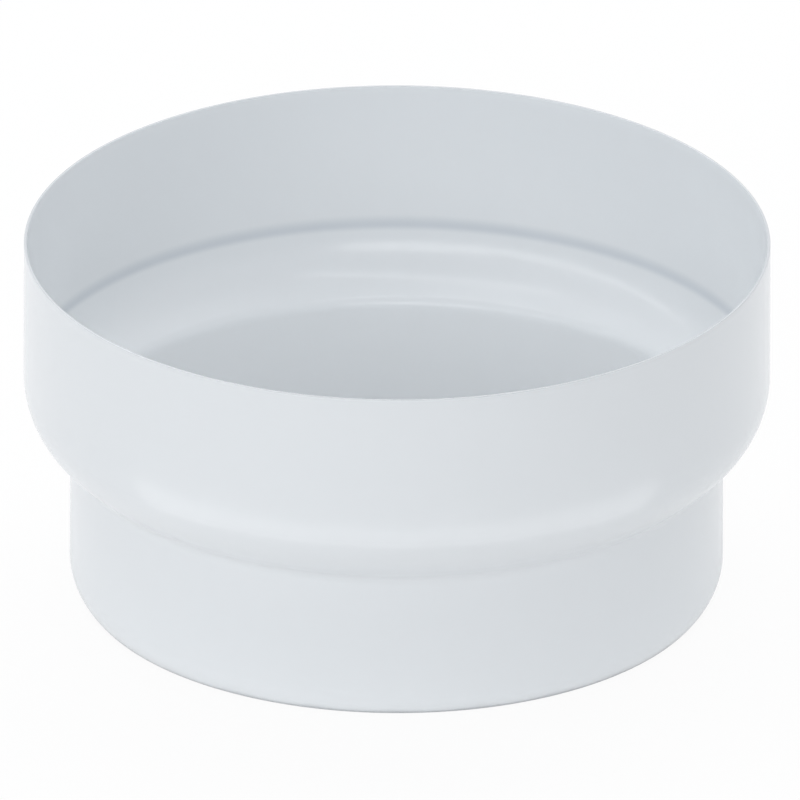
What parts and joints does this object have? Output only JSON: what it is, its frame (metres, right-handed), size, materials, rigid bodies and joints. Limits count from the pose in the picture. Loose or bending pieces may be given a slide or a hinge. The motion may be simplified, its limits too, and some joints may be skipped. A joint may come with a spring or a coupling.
{
  "type": "duct reducer",
  "caption": "Short round sheet-steel duct reducer in white enamel: a wide collar, an S-shaped step and a narrow spigot with a turned-in lead-in end.",
  "frame": {"origin": "on the axis, in the plane of the narrow end's edge, on which the part stands", "axes": "+Z along the axis, from the narrow end up to the wide end; the part is round, so X and Y are free"},
  "size_m": [0.16, 0.16, 0.08],
  "materials": {
    "white_enamel": "smooth semi-gloss white enamel on pressed steel sheet"
  },
  "bodies": {
    "root": {"duct_reducer": "white_enamel"}
  },
  "joints": []
}
